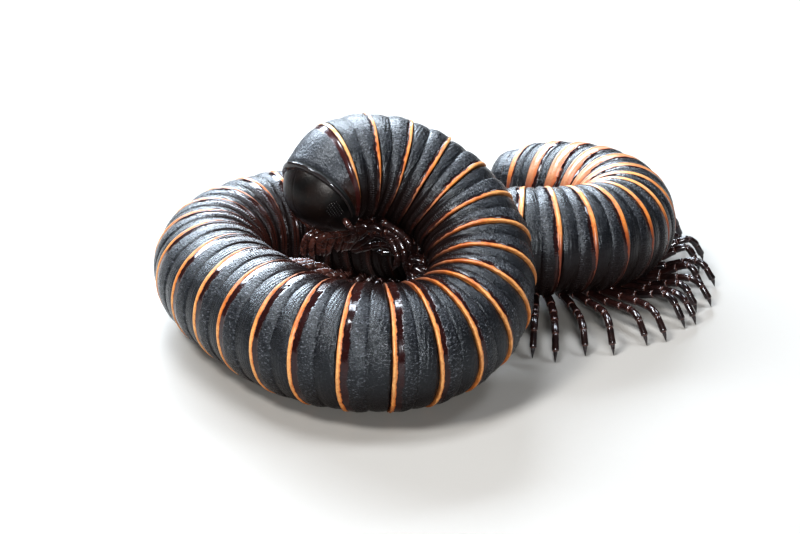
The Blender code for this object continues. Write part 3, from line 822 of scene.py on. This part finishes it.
def build_collum():
    m = 300
    a = 2 * math.pi * np.arange(m) / m
    lo, hi = np.full(m, 0.3), np.full(m, 4.4)
    for _ in range(40):                 # where each line meets the rim's plane
        mid = (lo + hi) / 2
        p, _r = collum_point(mid, a)
        ahead = (p - HEAD_C) @ N_FACE
        lo = np.where(ahead < RIM_AT, mid, lo)
        hi = np.where(ahead < RIM_AT, hi, mid)
    reach = (lo + hi) / 2
    turn = np.where(a > math.pi, 2 * math.pi - a, a)
    rnd = turn / math.pi
    rows, Q, F, N = [], [], [], []

    def row(u, h, q, f):
        p, radial = collum_point(u, a)
        h = np.broadcast_to(h, (m,))
        rows.append(p + radial * h[:, None])
        N.append(radial)
        Q.append(np.broadcast_to(q, (m,)))
        F.append(np.broadcast_to(f, (m,)))
    # inside of the front rim, bead, furrow, dome, gloss band, pale rear edge
    rim = [(-0.02, -0.55), (-0.04, -0.30), (-0.05, -0.12), (-0.04, 0.00),
           (0.00, 0.045), (0.05, 0.070), (0.11, 0.065), (0.16, 0.020),
           (0.20, -0.070), (0.26, -0.115), (0.34, -0.100), (0.44, -0.040),
           (0.60, -0.008)]
    for d, h in rim:
        fade = 1.0 - 0.5 * ramp(rnd, 0.72, 0.95)
        row(reach - d, np.where(h > -0.2, h * fade, h), reach - d,
            np.full(m, d))
    start = reach - 0.60
    for i in range(1, 33):
        w = i / 32.0
        u = start * (1 - w) + 0.95 * w
        row(u, 0.0, u, reach - u)
    for u, h in ((0.80, -0.004), (0.62, -0.022), (0.48, -0.032),
                 (0.38, -0.034), (0.32, 0.000), (0.25, 0.045),
                 (0.17, 0.062), (0.09, 0.045), (0.03, 0.005),
                 (0.00, -0.06), (0.01, -0.16), (0.05, -0.30),
                 (0.06, -0.60)):
        row(np.full(m, u), h, np.full(m, u), reach - u)
    pts = np.array(rows)
    n = len(rows)
    dice = np.random.default_rng(11)
    rough = np.clip(dice.normal(size=(n, m)) * 0.008, -0.016, 0.016)
    rough *= (ramp(np.array(F), 0.45, 0.65) * ramp(np.array(Q), 0.75, 0.95)
              * (1.0 - ramp(rnd, 0.38, 0.52))[None, :])
    pts += rough[..., None] * np.array(N)
    # rows run head to tail here, as on the rings
    faces = tube_faces(n, m)
    q = np.array(Q)
    f = np.array(F)
    return make_piece("collum_shield", pts.reshape(-1, 3), faces, COLLUM_MAT,
                      {"ahead": q.ravel(), "behind": f.ravel(),
                       "round": np.tile(rnd, n)},
                      slot="collum_shell", replaces=("collum",))


build_collum()


def soft_max(a, b, k):
    h = np.clip(0.5 + 0.5 * (a - b) / k, 0.0, 1.0)
    return b * (1 - h) + a * h + k * h * (1 - h)


def egg_reach(d, centre, size):
    """How far a ray d from the head's centre runs inside an egg."""
    o = -np.asarray(centre) / size
    k = d / size
    qa = (k * k).sum(-1)
    qb = (k * o).sum(-1)
    qc = (o * o).sum() - 1.0
    disc = qb * qb - qa * qc
    r = (-qb + np.sqrt(np.maximum(disc, 0.0))) / qa
    return np.where(disc > 0, np.maximum(r, 0.0), 0.0)


def head_surface(d):
    """Distance from the head's centre to its surface along directions d,
    given as across (S), forward (N), up (U)."""
    x, y, z = d[..., 0], d[..., 1], d[..., 2]
    r = egg_reach(d, (0, 0, 0), np.array((HEAD_WIDE, HEAD_DEEP, HEAD_TALL)))
    for sgn in (1, -1):                    # mandible bases
        r = soft_max(r, egg_reach(d, (sgn * 1.55, 0.75, -1.55),
                                  np.array((1.35, 1.35, 1.35))), 0.40)
    r = soft_max(r, egg_reach(d, (0, 1.15, -2.05),
                              np.array((1.60, 1.1, 1.05))), 0.40)
    return r


def furrow(x, width):
    return np.exp(-(x / width) ** 2)


def build_head():
    nu, nv = 220, 150
    # rings of directions round the forward axis N, from the face to the nape
    tilt = np.linspace(0.004, 0.62 * math.pi, nv)
    turn = 2 * math.pi * np.arange(nu) / nu
    A, Tn = np.meshgrid(tilt, turn, indexing="ij")
    d = np.stack([np.sin(A) * np.cos(Tn), np.cos(A),
                  np.sin(A) * np.sin(Tn)], -1)
    r = head_surface(d)
    pos = d * r[..., None]
    x, y, z = pos[..., 0], pos[..., 1], pos[..., 2]
    cut = np.zeros_like(x)
    # coronal line down the brow
    line = furrow(x, 0.035) * ramp(z, -0.35, 0.25)
    cut = np.maximum(cut, line)
    # furrow above the lip plate, and the lip's notch
    arch = -1.62 - 0.20 * (x / 1.6) ** 2 * 0 + 0.10 * np.cos(x * 1.4)
    lipline = furrow(z - arch, 0.045) * ramp(np.abs(x), 1.75, 1.45) * (y > 0.5)
    cut = np.maximum(cut, lipline)
    # side furrows between the face and the mandible bases
    side = np.abs(x) - (1.62 + 0.30 * np.sin((z + 1.8) * 1.1))
    jaw = furrow(side, 0.05) * ramp(z, -0.75, -1.05) * ramp(z, -3.0, -2.6) \
        * (y > -0.5)
    cut = np.maximum(cut, jaw)
    # edge between the two plates of each mandible base
    hinge = furrow((y - 0.15) + 0.25 * (z + 1.6), 0.05) \
        * ramp(np.abs(x), 1.8, 2.1) * ramp(z, -0.7, -1.0)
    cut = np.maximum(cut, hinge)
    # shallow sockets of the antennae
    socket = np.zeros_like(x)
    for sgn in (1, -1):
        dist = np.sqrt((x - sgn * 2.30) ** 2 + (z + 1.55) ** 2
                       + (y - 1.0) ** 2)
        socket = np.maximum(socket, np.exp(-(dist / 0.42) ** 4) * (y > 0))
    # the pit row above the lip
    pits = np.zeros_like(x)
    for i in range(-2, 3):
        dist = np.sqrt((x - i * 0.42) ** 2 + (z + 2.05) ** 2)
        pits = np.maximum(pits, np.exp(-(dist / 0.07) ** 2) * (y > 0))
    notch = np.exp(-(x / 0.30) ** 2) * ramp(z, -2.75, -3.05) * (y > 0)
    r = r - 0.030 * cut - 0.16 * socket - 0.03 * pits - 0.10 * notch
    r = r + 0.012 * np.sin(3.1 * x + 1.0) * np.cos(2.3 * z)
    pos = d * r[..., None]
    pts = (HEAD_C + pos[..., 0:1] * S_FACE + pos[..., 1:2] * N_FACE
           + pos[..., 2:3] * U_FACE)
    up = (pos[..., 2] + 3.2) / 6.2
    faces = tube_faces(nv, nu)
    ob = make_piece("head_capsule", pts.reshape(-1, 3), faces, HEAD_MAT,
                    {"crown": up.ravel(), "cut": cut.ravel() * 0.9},
                    slot="head_shell", replaces=("head",))
    return ob


HEAD_OB = build_head()


def dome(batch, centre, axis, radius, flat=0.75, seg=10, rings=5, **attrs):
    """Closed low dome sunk in the surface."""
    axis = unit(np.asarray(axis))
    ref = unit(np.cross(axis, (0.3, 0.2, 0.93)))
    oth = np.cross(axis, ref)
    v = []
    for i in range(rings + 1):
        w = math.pi * (0.5 + 0.12 - 0.62 * i / rings)
        for j in range(seg):
            b = 2 * math.pi * j / seg
            v.append(centre + radius * (math.sin(w) * (
                math.cos(b) * ref + math.sin(b) * oth))
                + axis * radius * flat * math.cos(w))
    f = []
    for i in range(rings):
        for j in range(seg):
            k = (j + 1) % seg
            f.append([i * seg + j, i * seg + k, (i + 1) * seg + k,
                      (i + 1) * seg + j])
    f.append([j for j in range(seg)][::-1])
    f.append([rings * seg + j for j in range(seg)])
    batch.add(np.array(v), f, **attrs)


def head_spot(dx, dy, dz):
    d = unit(np.array([dx, dy, dz], float))
    e = 1e-3
    r = float(head_surface(d[None])[0])
    # surface normal from nearby rays
    ref = unit(np.cross(d, (0.1, 0.2, 0.97)))
    oth = np.cross(d, ref)
    p0 = d * r
    d1, d2 = unit(d + ref * e), unit(d + oth * e)
    p1 = d1 * float(head_surface(d1[None])[0])
    p2 = d2 * float(head_surface(d2[None])[0])
    n = unit(np.cross(p1 - p0, p2 - p0))
    if np.dot(n, d) < 0:
        n = -n
    to = np.stack([S_FACE, N_FACE, U_FACE])
    return HEAD_C + p0 @ to, n @ to


def build_eye(sgn, word):
    batch = Batch(("limb",))
    rows = [(0, 7), (1, 8), (2, 8), (3, 7), (4, 6), (5, 4)]
    for row, count in rows:
        for i in range(count):
            across = (row - 2.4) * 0.055
            up = (i - (count - 1) / 2.0) * 0.060 + (row % 2) * 0.01
            p, n = head_spot(sgn * (0.84 - across * 0.62),
                             0.52 + across * 0.9, -0.06 + up)
            dome(batch, p - n * 0.015, n, 0.082, 0.85, 10, 5,
                 limb=chance(row, i))
    return batch.piece("ocelli_" + word, EYE_MAT, slot="eye_bead",
                       replaces=("eye_" + word,))


for sgn, word in ((1, "left"), (-1, "right")):
    build_eye(sgn, word)


# ---------------------------------------------------------------------- limbs
def bezier_line(points, count):
    """Smooth line through points, evenly spaced: Catmull-Rom, sampled."""
    pts = np.array(points, float)
    pts = np.vstack([2 * pts[0] - pts[1], pts, 2 * pts[-1] - pts[-2]])
    out = []
    for i in range(1, len(pts) - 2):
        p0, p1, p2, p3 = pts[i - 1], pts[i], pts[i + 1], pts[i + 2]
        for w in np.linspace(0, 1, 24, endpoint=False):
            out.append(0.5 * ((2 * p1) + (-p0 + p2) * w
                              + (2 * p0 - 5 * p1 + 4 * p2 - p3) * w * w
                              + (-p0 + 3 * p1 - 3 * p2 + p3) * w ** 3))
    out.append(pts[-2])
    out = np.array(out)
    d = np.concatenate([[0.0], np.cumsum(np.linalg.norm(
        np.diff(out, axis=0), axis=1))])
    x = np.linspace(0, d[-1], count)
    return np.stack([np.interp(x, d, out[:, k]) for k in range(3)], 1), d[-1]


#            share of the length, waist before, swelling after
SEGMENTS = [(0.00, 0.07), (0.07, 0.14), (0.14, 0.36), (0.36, 0.54),
            (0.54, 0.66), (0.66, 0.79), (0.79, 0.92)]


def limb(batch, points, r0, r1, own, sides=10, claw=True, segments=SEGMENTS,
         club=0.0):
    """A leg or feeler of joined segments: each is narrow at its base and
    swells towards its end, with a pale soft joint between."""
    stations = []
    for n, (a, b) in enumerate(segments):
        last = n == len(segments) - 1
        for w, k, j in ((0.00, 0.78, 1.0), (0.05, 0.88, 0.2),
                        (0.20, 0.97, 0.0), (0.55, 1.00, 0.0),
                        (0.86, 1.07, 0.0), (0.96, 1.03, 0.1),
                        (1.00, 0.80, 1.0)):
            stations.append((a + (b - a) * w, k, j))
    if claw:
        for w, k, j in ((0.925, 0.66, 0.0), (0.945, 0.56, 0.0),
                        (0.970, 0.34, 0.0), (1.0, 0.07, 0.0)):
            stations.append((w, k, j))
    else:
        for w, k, j in ((0.93, 0.72, 0.0), (0.98, 0.50, 0.0),
                        (1.0, 0.15, 0.0)):
            stations.append((w, k, j))
    line, length = bezier_line(points, 97)
    x = np.linspace(0, 1, len(line))
    rows, tt, jj = [], [], []
    ref = None
    for w, k, j in stations:
        c = np.array([np.interp(w, x, line[:, q]) for q in range(3)])
        e = 0.015
        d = unit(np.array([np.interp(min(w + e, 1), x, line[:, q])
                           - np.interp(max(w - e, 0), x, line[:, q])
                           for q in range(3)]))
        if ref is None:
            ref = np.cross(d, (0.31, 0.17, 0.93))
        ref = unit(ref - d * np.dot(ref, d))
        side = np.cross(d, ref)
        r = (r0 * (1 - w) + r1 * w) * k * (1.0 + club * math.sin(
            math.pi * min(w * 1.1, 1.0)))
        for i in range(sides):
            b = 2 * math.pi * i / sides
            rows.append(c + r * (math.cos(b) * ref + math.sin(b) * side))
        tt += [w] * sides
        jj += [j] * sides
    # columns turn from ref towards side, rows run outward along the limb
    n = len(stations)
    f = []
    for i in range(n - 1):
        for k in range(sides):
            q = (k + 1) % sides
            f.append([i * sides + k, i * sides + q, (i + 1) * sides + q,
                      (i + 1) * sides + k])
    f.append([k for k in range(sides)][::-1])
    f.append([(n - 1) * sides + k for k in range(sides)])
    rows = np.array(rows)
    rows[:, 2] = np.maximum(rows[:, 2], 0.0)
    batch.add(rows, f, limb=np.array(tt), joint=np.array(jj), own=own)


def side_reach(s, outer):
    if outer:
        return float(np.interp(s, [58, 66, 74, 80, 87, 90, 93, 104], [
            5.6, 5.8, 7.2, 9.6, 9.2, 7.9, 6.9, 6.4]))
    return float(np.interp(s, [58, 66, 74, 80, 96, 104], [
        6.6, 6.6, 5.0, 3.1, 3.1, 4.6]))


# legs of the raised neck, draped over the middle of the coil: bends of each
# leg for (ring, pair, side), in mm
FAN = {
    (2, 0, -1): [(-9.0, -5.6, 8.4), (-9.3, -5.0, 7.3), (-9.3, -4.4, 6.3)],
    (3, 0, -1): [(-8.4, -5.8, 8.9), (-9.0, -5.1, 7.4), (-9.0, -4.3, 6.2)],
    (4, 0, -1): [(-7.7, -5.9, 9.1), (-8.4, -5.2, 7.7), (-8.8, -4.2, 6.2)],
    (5, 0, -1): [(-6.9, -6.0, 9.4), (-7.7, -5.2, 8.0), (-8.0, -4.2, 6.5)],
    (5, 1, -1): [(-6.1, -6.2, 9.6), (-6.9, -5.5, 8.5), (-7.7, -4.2, 6.5)],
    (6, 0, -1): [(-5.1, -6.5, 9.6), (-6.2, -5.8, 8.7), (-7.4, -4.2, 6.6)],
    (6, 1, -1): [(-4.8, -6.3, 8.9), (-5.5, -5.6, 8.3), (-7.0, -4.2, 6.7)],
    (7, 0, -1): [(-4.2, -6.0, 7.9), (-5.6, -5.2, 7.4), (-7.0, -4.0, 6.5)],
    (4, 0, 1): [(-4.6, -6.9, 10.2), (-3.5, -7.6, 9.7), (-2.6, -8.2, 9.0),
                (-2.6, -8.0, 7.8)],
    (5, 0, 1): [(-4.3, -6.9, 9.4), (-3.5, -7.5, 9.2), (-2.9, -8.0, 8.0),
                (-3.0, -7.8, 6.8)],
    (5, 1, 1): [(-4.4, -6.6, 9.1), (-3.9, -7.3, 8.9), (-3.4, -7.8, 7.6),
                (-3.8, -7.6, 6.5)],
    (2, 0, 1): [(-10.0, -5.2, 8.3), (-10.5, -4.6, 7.0), (-10.4, -4.2, 6.0)],
    (3, 0, 1): [(-9.5, -5.3, 8.2), (-9.9, -4.7, 6.9), (-9.7, -4.2, 5.9)],
}


def leg_points(k, s, side, odd):
    """Course of one leg from its socket to the claw."""
    p, t, v, b = frame_at(s)
    r = float(radius_at(s))
    out = side * b
    x = k + 0.5 * odd
    root = p + v * (0.90 * r) + out * r * (0.16 if not odd else 0.20)
    w = float(ramp(np.interp(s, ARC, ROLL), 48, 74) * ramp(s, 60, 70))
    jit = [chance(k, side * 3 + 5, odd, i) - 0.5 for i in range(4)]
    if (k, odd, side) in FAN:
        pts = [root] + [np.array(q, float) for q in FAN[(k, odd, side)]]
        hip = 0.62 * pts[0] + 0.38 * pts[1] + out * 0.35 + v * 0.45
        return [root, hip] + pts[1:], 0.37
    if w < 0.5:
        # folded in the coil and swept towards the head, row by row
        fan = [2, 4, 5.5, 6.5, 7.5, 9.5, 12, 17, 19, 22, 24, 28]
        o1 = np.interp(x, fan, [1.5, 1.5, 1.5, 1.5, 1.3, 1.1, 0.6, 0.3, 0.2,
                                0.2, 0.2, 0.3])
        v1 = np.interp(x, fan, [0.6, 1.4, 1.6, 2.0, 1.8, 1.6, 1.8, 1.7, 1.3,
                                1.2, 1.2, 1.2])
        f1 = np.interp(x, fan, [3.0, 3.0, 2.6, 2.2, 1.6, 1.5, 1.2, 1.2, 0.6,
                                0.3, 0.6, 0.9])
        o2 = np.interp(x, fan, [-.1, -.2, -.2, -.2, 0.1, 0.0, -.2, -.2, 0.1,
                                0.2, -.3, -.4])
        v2 = np.interp(x, fan, [1.5, 1.6, 1.5, 1.2, 0.6, 0.8, 1.3, 1.2, 1.6,
                                1.6, 1.7, 1.6])
        f2 = np.interp(x, fan, [0.5, 0.3, 0.8, 0.9, 2.0, 1.4, 0.9, 0.9, 0.3,
                                0.1, 0.4, 0.6])
        if side > 0:
            o1, f1 = 0.9 * min(o1, 1.4), f1 * 0.75
        o1, f1 = o1 + 0.25 * jit[0], f1 + 0.35 * jit[1]
        hip = root + out * 0.55 * o1 + v * 0.30 * v1 - t * 0.30 * f1
        knee = root + out * o1 + v * v1 - t * f1
        ankle = knee + out * o2 + v * v2 - t * f2
        tip = ankle + v * 0.55 * v2 - t * (0.30 * f2 + 0.2) - out * 0.45
        pts = [root, hip, knee, ankle, tip]
        for i, q in enumerate(pts[1:]):
            if q[2] < 0.30:
                q[2] = 0.30 + 0.1 * (jit[3] + 0.5)
        return pts, 0.36
    flat = unit(np.array((out[0], out[1], 0.0)))
    rank = 0.30 if side < 0 else 0.60
    reach = side_reach(s, side < 0) + (rank if odd else -rank) + 0.6 * jit[0]
    base = np.array((p[0], p[1], 0.0))
    # the feet step in a wave that runs along the body
    sway = 0.55 * math.sin(2 * math.pi * x / 4.3) + 0.5 * jit[1]
    foot = base + flat * reach - t * sway
    foot[2] = 0.0
    ankle = base + flat * reach * 0.955 - t * sway * 0.9
    ankle[2] = 0.85
    knee = base + flat * (reach * 0.80) - t * (0.6 * sway + 0.2 * jit[2])
    knee[2] = 2.15 + 0.5 * jit[3] if reach > 6.3 else 1.6 + 0.3 * jit[3]
    if reach < 4.2:
        knee = base + flat * reach * 0.88 - t * 0.4 * sway
        knee[2] = 1.5
        return [root, knee, ankle, foot], 0.33
    hip = base + flat * (reach * 0.46) - t * 0.2 * sway
    hip[2] = max(p[2] - r + (0.85 if odd else 0.55), 1.05)
    return [root, hip, knee, ankle, foot], 0.37


def build_legs(number, first):
    batch = Batch(("limb", "joint", "own"))
    for k in range(first, first + RINGS_PER_LENGTH):
        s0, s1 = edge_of(k - 1), edge_of(k)
        spots = (0.62,) if k <= 4 else (0.38, 0.80)
        for odd, spot in enumerate(spots):
            for side in (-1, 1):
                s = s0 + (s1 - s0) * spot
                pts, r = leg_points(k, s, side, odd)
                limb(batch, pts, r, 0.25, chance(k, side + 2, odd))
    return batch.piece("legs_%02d" % number, LIMB_MAT, slot="limb_shell")


first, number = 2, 1
while first < RING_COUNT:
    build_legs(number, first)
    first += RINGS_PER_LENGTH
    number += 1

FEELER = [(0.00, 0.06), (0.06, 0.22), (0.22, 0.38), (0.38, 0.54),
          (0.54, 0.70), (0.70, 0.88), (0.88, 0.97)]
# across, forward and up from the head's centre: down the cheek, under the chin
FEELER_PATH = [(2.30, 1.30, -1.30), (3.12, 1.60, -1.62), (3.16, 1.58, -2.30),
               (2.78, 1.56, -2.95), (2.18, 1.54, -3.42), (1.45, 1.52, -3.70),
               (0.95, 1.50, -3.80)]
for sgn, word in ((1, "left"), (-1, "right")):
    path = [HEAD_C + S_FACE * sgn * x + N_FACE * y + U_FACE * z
            for x, y, z in FEELER_PATH]
    batch = Batch(("limb", "joint", "own"))
    limb(batch, path, 0.23, 0.24, 0.4, sides=16, claw=False,
         segments=FEELER, club=0.22)
    batch.piece("feeler_" + word, LIMB_MAT, slot="limb_shell",
                replaces=("antenna_" + word,))


# ----------------------------------------------------------- floor and lights
def floor_material():
    g = Graph("pale_floor")
    base = g.mix(g.noise(0.02, 3.0), (0.285, 0.276, 0.263), (0.315, 0.306, 0.293))
    n1 = g.bump(g.noise(1.2, 3.0), 0.05, 0.15)
    return g.set(Base_Color=base, Roughness=0.6, Normal=n1)


me = bpy.data.meshes.new("floor")
me.from_pydata([(-3, -3, -1e-5), (3, -3, -1e-5), (3, 3, -1e-5),
                (-3, 3, -1e-5)], [], [(0, 1, 2, 3)])
floor = bpy.data.objects.new("floor", me)
me.materials.append(floor_material())
bpy.context.scene.collection.objects.link(floor)


def softbox(name, place, aim, size, power, colour):
    """Rectangular lamp, place and aim in mm, power in watts."""
    lamp = bpy.data.lights.new(name, 'AREA')
    lamp.shape = 'RECTANGLE'
    lamp.size, lamp.size_y = size[0] * MM, size[1] * MM
    lamp.energy = power
    lamp.color = colour
    ob = bpy.data.objects.new(name, lamp)
    bpy.context.scene.collection.objects.link(ob)
    place, aim = Vector(place) * MM, Vector(aim) * MM
    ob.location = place
    ob.rotation_mode = 'QUATERNION'
    ob.rotation_quaternion = (aim - place).to_track_quat('-Z', 'Y')
    return ob


softbox("strip_behind", (-75, 200, 135), (-2, 0, 4), (240, 60), 1.45,
        (0.82, 0.91, 1.0))
softbox("overhead", (-30, 50, 250), (-2, 0, 4), (90, 60), 0.45,
        (0.93, 0.96, 1.0))
softbox("key", (-130, -70, 230), (-2, -2, 5), (60, 60), 0.62,
        (1.0, 0.985, 0.96))
softbox("front", (10, -250, 115), (-6, -4, 7), (40, 30), 0.55,
        (1.0, 0.99, 0.97))
softbox("right_top", (130, 40, 200), (5, 0, 5), (70, 50), 0.18,
        (0.90, 0.95, 1.0))

world = bpy.data.worlds.new("studio")
bpy.context.scene.world = world
world.use_nodes = True
sky = world.node_tree.nodes["Background"]
sky.inputs["Color"].default_value = (0.93, 0.95, 1.0, 1.0)
sky.inputs["Strength"].default_value = 0.08

# --------------------------------------------------------------------- camera
AIM = np.array((-3.244, 7.794, 0.0))
TILT, FAR = 23.9, 154.0
cam_data = bpy.data.cameras.new("camera")
cam_data.sensor_width = 36.0
cam_data.lens = 83.65
cam_data.clip_start, cam_data.clip_end = 0.005, 20.0
cam_data.dof.use_dof = False
cam = bpy.data.objects.new("camera", cam_data)
bpy.context.scene.collection.objects.link(cam)
e = math.radians(TILT)
cam.location = Vector(AIM + FAR * np.array((0.0, -math.cos(e), math.sin(e)))) \
    * MM
cam.rotation_euler = (math.pi / 2 - e, 0.0, 0.0)
bpy.context.scene.camera = cam

view = bpy.context.scene.view_settings
view.view_transform = 'Standard'
view.look = 'Medium High Contrast'
